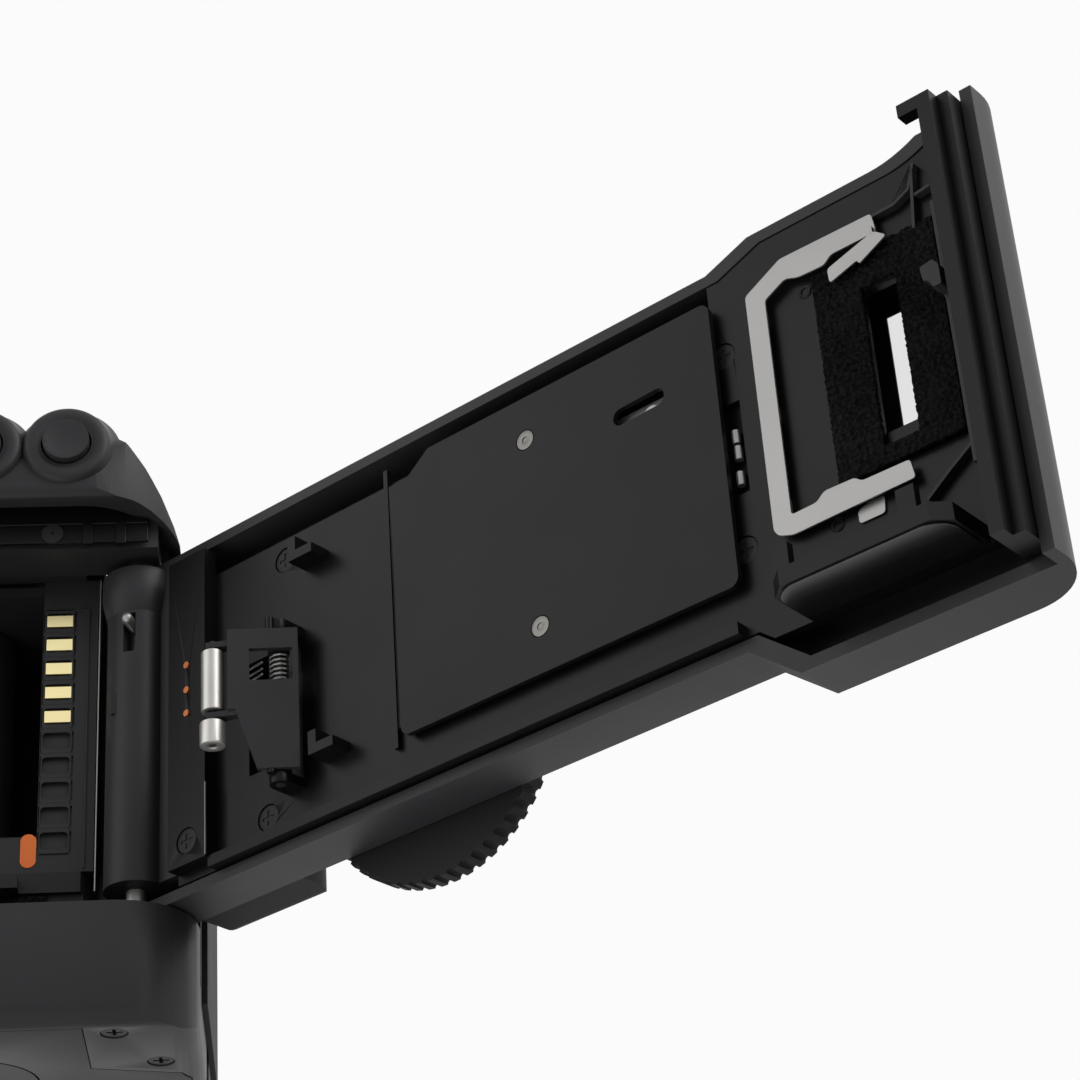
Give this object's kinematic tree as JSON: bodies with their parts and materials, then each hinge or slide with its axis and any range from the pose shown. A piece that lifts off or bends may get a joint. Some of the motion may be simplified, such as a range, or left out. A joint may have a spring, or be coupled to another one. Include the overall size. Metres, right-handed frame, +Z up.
{
  "type": "film slr camera body",
  "caption": "Autofocus 35 mm film camera body with its hinged film door swung open, showing the pressure plate, roller arm, springs, contacts and the film chambers.",
  "frame": {"origin": "mouth of the tripod socket on the base, straight under the optical axis", "axes": "+Z up, -Y towards the lens side, -X towards the hand grip; the base lies at z = 0"},
  "size_m": [0.2575, 0.1608, 0.1208],
  "materials": {
    "moulded_black": "fine satin grain",
    "black_rubber": "matte, pebbled",
    "die_casting": "matte black paint",
    "bright_steel": "bright, lightly brushed",
    "chromed_steel": "polished",
    "gold_contact": "gold-plated",
    "copper_contact": "plain copper tone",
    "black_foam": "open-cell foam",
    "optical_glass": "clear, coated",
    "smoked_window": "smoked",
    "mirror_silver": "front-silvered",
    "battery_case": "plain satin"
  },
  "bodies": {
    "camera_body": {"chassis": "die_casting", "mirror_box": "die_casting", "shutter_frame": "die_casting", "front_shell": "moulded_black", "top_cover": "moulded_black", "bottom_cover": "moulded_black", "hand_grip": "moulded_black", "grip_rubber": "black_rubber", "battery": "battery_case", "tripod_socket": "bright_steel", "lens_mount_ring": "chromed_steel", "body_screws": "die_casting", "focusing_screen": "optical_glass", "pentaprism": "optical_glass", "eyepiece_lens": "optical_glass", "eyecup": "black_rubber", "contact_strip": "moulded_black", "gold_contacts": "gold_contact", "cartridge_contacts": "gold_contact", "light_seals": "black_foam", "display_window": "smoked_window", "accessory_shoe": "bright_steel", "strap_lugs": "bright_steel", "lower_hinge_pin": "bright_steel"},
    "film_door": {"door_shell": "moulded_black", "door_liner": "moulded_black", "plate_spring": "bright_steel", "plate_screws": "bright_steel", "cartridge_spring": "bright_steel", "window_foam": "black_foam", "film_window": "smoked_window", "arm_pivot_pin": "die_casting", "torsion_spring": "bright_steel", "door_contact_pins": "copper_contact", "liner_screws": "die_casting", "thumb_rest": "black_rubber"},
    "film_pressure_plate": {"pressure_plate": "die_casting"},
    "film_roller_arm": {"roller_arm": "moulded_black"},
    "wide_roller": {"large_roller": "chromed_steel"},
    "narrow_roller": {"small_roller": "chromed_steel"},
    "door_latch": {"latch_slide": "die_casting"},
    "hinge_release": {"hinge_release_pin": "bright_steel"},
    "rear_control_dial": {"rear_dial": "moulded_black"},
    "grip_coin_screw": {"grip_screw": "moulded_black"},
    "lens_release": {"lens_release_button": "moulded_black"},
    "lens_lock": {"lens_lock_pin": "bright_steel"},
    "reflex_mirror": {"main_mirror": "mirror_silver"},
    "secondary_mirror": {"sub_mirror": "mirror_silver"},
    "shutter_leaf_1": {"shutter_blade_1": "die_casting"},
    "shutter_leaf_2": {"shutter_blade_2": "die_casting"},
    "shutter_leaf_3": {"shutter_blade_3": "die_casting"},
    "film_spool": {"take_up_spool": "moulded_black"},
    "film_rewind_fork": {"rewind_fork": "bright_steel"},
    "release_button": {"shutter_button": "moulded_black"},
    "front_control_dial": {"main_dial": "moulded_black"},
    "mode_key": {"mode_button": "moulded_black"},
    "metering_key": {"metering_button": "moulded_black"},
    "exposure_lock_key": {"exposure_lock_button": "moulded_black"},
    "focus_point_key": {"focus_point_button": "moulded_black"},
    "power_switch": {"power_lever": "moulded_black"}
  },
  "joints": [
    {"name": "door_hinge", "type": "hinge", "parent": "camera_body", "child": "film_door", "pos_m": [-0.0775, 0.018, 0.046], "axis": [0, 0, 1], "range_deg": [-136.4, 0]},
    {"name": "pressure_plate_slide", "type": "slide", "parent": "film_door", "child": "film_pressure_plate", "axis": [-0.6896, -0.7242, 0], "range_m": [0, 0.0005], "stiffness_N_per_m": 1500, "deforming": ["plate_spring"]},
    {"name": "roller_arm_hinge", "type": "hinge", "parent": "film_door", "child": "film_roller_arm", "pos_m": [-0.09774, 0.04141, 0.037], "axis": [0, 0, 1], "range_deg": [-24, 0], "stiffness_Nm_per_rad": 0.01, "deforming": ["torsion_spring"]},
    {"name": "wide_roller_spin", "type": "hinge", "parent": "film_roller_arm", "child": "wide_roller", "pos_m": [-0.08889, 0.04128, 0.04], "axis": [0, 0, 1], "continuous": true},
    {"name": "narrow_roller_spin", "type": "hinge", "parent": "film_roller_arm", "child": "narrow_roller", "pos_m": [-0.08889, 0.04128, 0.033], "axis": [0, 0, 1], "continuous": true},
    {"name": "latch_travel", "type": "slide", "parent": "film_door", "child": "door_latch", "axis": [0, 0, 1], "range_m": [0, 0.003], "stiffness_N_per_m": 150},
    {"name": "hinge_pin_travel", "type": "slide", "parent": "film_door", "child": "hinge_release", "axis": [0, 0, -1], "range_m": [0, 0.0035], "stiffness_N_per_m": 300},
    {"name": "rear_dial_spin", "type": "hinge", "parent": "film_door", "child": "rear_control_dial", "pos_m": [-0.11818, 0.04431, 0.0292], "axis": [-0.6896, -0.7242, 0], "continuous": true},
    {"name": "grip_screw_turn", "type": "hinge", "parent": "camera_body", "child": "grip_coin_screw", "pos_m": [-0.055, 0.003, 0.002], "axis": [0, 0, 1], "continuous": true},
    {"name": "lens_release_press", "type": "slide", "parent": "camera_body", "child": "lens_release", "axis": [0, 1, 0], "range_m": [0, 0.0018], "stiffness_N_per_m": 500},
    {"name": "lens_lock_travel", "type": "slide", "parent": "camera_body", "child": "lens_lock", "axis": [0, 1, 0], "range_m": [0, 0.0018], "stiffness_N_per_m": 500},
    {"name": "mirror_swing", "type": "hinge", "parent": "camera_body", "child": "reflex_mirror", "pos_m": [0, 0.0072, 0.0602], "axis": [1, 0, 0], "range_deg": [-45, 0], "stiffness_Nm_per_rad": 0.02, "springref_deg": 17.19},
    {"name": "sub_mirror_swing", "type": "hinge", "parent": "reflex_mirror", "child": "secondary_mirror", "pos_m": [0, -0.00114, 0.05016], "axis": [1, 0, 0], "range_deg": [0, 90]},
    {"name": "shutter_leaf_1_travel", "type": "slide", "parent": "camera_body", "child": "shutter_leaf_1", "axis": [0, 0, -1], "range_m": [0, 0.025], "stiffness_N_per_m": 20, "springref_m": -0.004},
    {"name": "shutter_leaf_2_travel", "type": "slide", "parent": "camera_body", "child": "shutter_leaf_2", "axis": [0, 0, -1], "range_m": [0, 0.017]},
    {"name": "shutter_leaf_3_travel", "type": "slide", "parent": "camera_body", "child": "shutter_leaf_3", "axis": [0, 0, -1], "range_m": [0, 0.00875]},
    {"name": "spool_spin", "type": "hinge", "parent": "camera_body", "child": "film_spool", "pos_m": [-0.051, 0, 0.05], "axis": [0, 0, 1], "continuous": true},
    {"name": "rewind_fork_spin", "type": "hinge", "parent": "camera_body", "child": "film_rewind_fork", "pos_m": [0.0483, 0.0032, 0.02], "axis": [0, 0, 1], "continuous": true},
    {"name": "shutter_button_press", "type": "slide", "parent": "camera_body", "child": "release_button", "axis": [0, 0, -1], "range_m": [0, 0.001], "stiffness_N_per_m": 500},
    {"name": "main_dial_spin", "type": "hinge", "parent": "camera_body", "child": "front_control_dial", "pos_m": [-0.071, -0.0155, 0.0809], "axis": [1, 0, 0], "continuous": true},
    {"name": "mode_press", "type": "slide", "parent": "camera_body", "child": "mode_key", "axis": [0, 0, -1], "range_m": [0, 0.0006], "stiffness_N_per_m": 400},
    {"name": "metering_press", "type": "slide", "parent": "camera_body", "child": "metering_key", "axis": [0, 0, -1], "range_m": [0, 0.0006], "stiffness_N_per_m": 400},
    {"name": "exposure_lock_press", "type": "slide", "parent": "camera_body", "child": "exposure_lock_key", "axis": [0, -1, 0], "range_m": [0, 0.0007], "stiffness_N_per_m": 400},
    {"name": "focus_point_press", "type": "slide", "parent": "camera_body", "child": "focus_point_key", "axis": [0, -1, 0], "range_m": [0, 0.0007], "stiffness_N_per_m": 400},
    {"name": "power_switch_turn", "type": "hinge", "parent": "camera_body", "child": "power_switch", "pos_m": [0.048, -0.008, 0.0935], "axis": [0, 0, 1], "range_deg": [0, 40]}
  ],
  "couplings": [
    {"joint": "lens_lock_travel", "follows": "lens_release_press", "ratio": 1},
    {"joint": "sub_mirror_swing", "follows": "mirror_swing", "ratio": -2},
    {"joint": "shutter_leaf_2_travel", "follows": "shutter_leaf_1_travel", "ratio": 0.68},
    {"joint": "shutter_leaf_3_travel", "follows": "shutter_leaf_1_travel", "ratio": 0.35}
  ]
}
